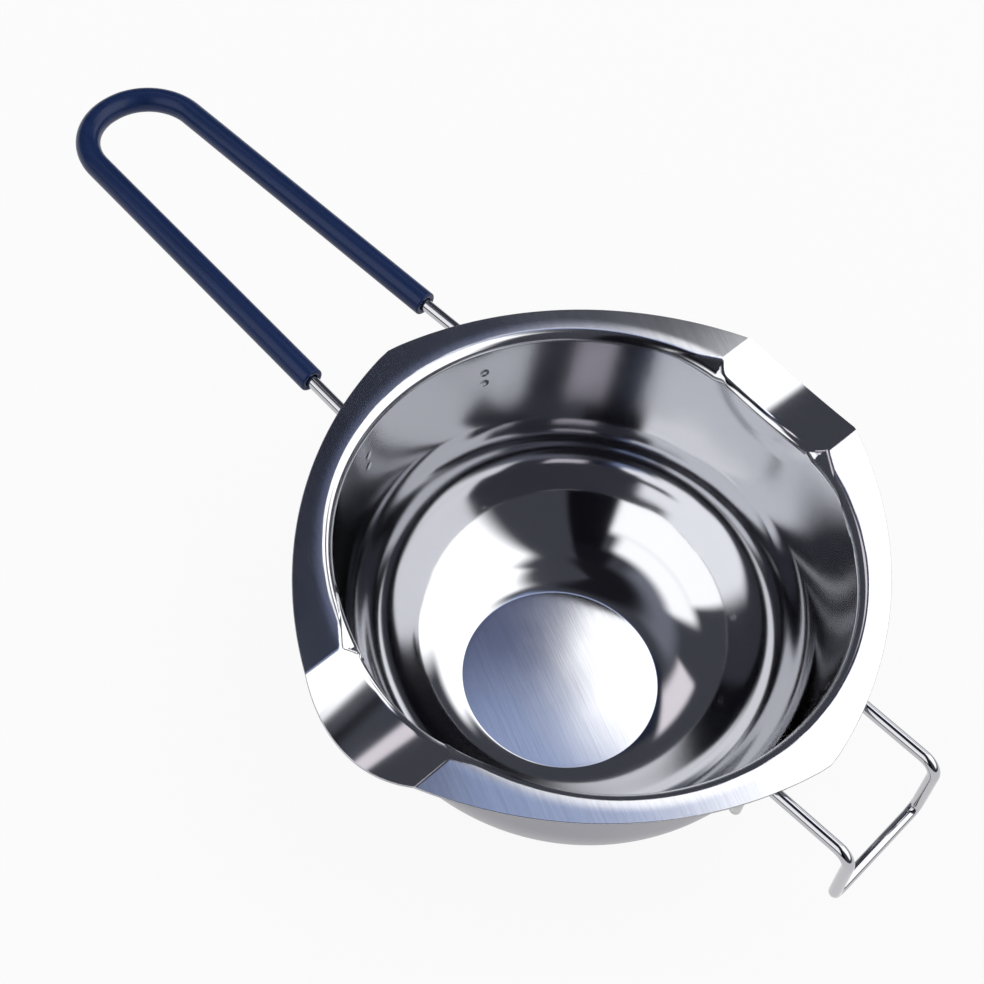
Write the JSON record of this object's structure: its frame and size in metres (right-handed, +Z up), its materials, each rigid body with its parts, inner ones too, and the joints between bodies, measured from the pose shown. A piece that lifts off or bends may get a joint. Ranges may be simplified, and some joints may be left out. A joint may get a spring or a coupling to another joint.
{
  "type": "candle wax melter",
  "caption": "Round-bottomed steel melting bowl with pour spouts on both sides, a sleeved wire handle and a wire hook that hangs on a pan's rim.",
  "frame": {"origin": "centre of the flat base, on the surface that it rests on, on the bowl's axis", "axes": "+Z up, +X from the bowl's axis towards the hook, -X along the handle, the spouts on +Y and -Y"},
  "size_m": [0.2791, 0.1562, 0.066],
  "materials": {
    "steel_bowl": "mirror-polished stainless steel, finely brushed on the base disc and the flange",
    "steel_wire": "bright drawn and polished stainless rod",
    "navy_sleeve": "satin soft sleeve",
    "weld_metal": "dull welded patch"
  },
  "bodies": {
    "root": {"bowl": "steel_bowl", "handle_wire": "steel_wire", "hook_wire": "steel_wire", "grip_sleeve": "navy_sleeve", "handle_welds": "weld_metal", "hook_welds": "weld_metal"}
  },
  "joints": []
}
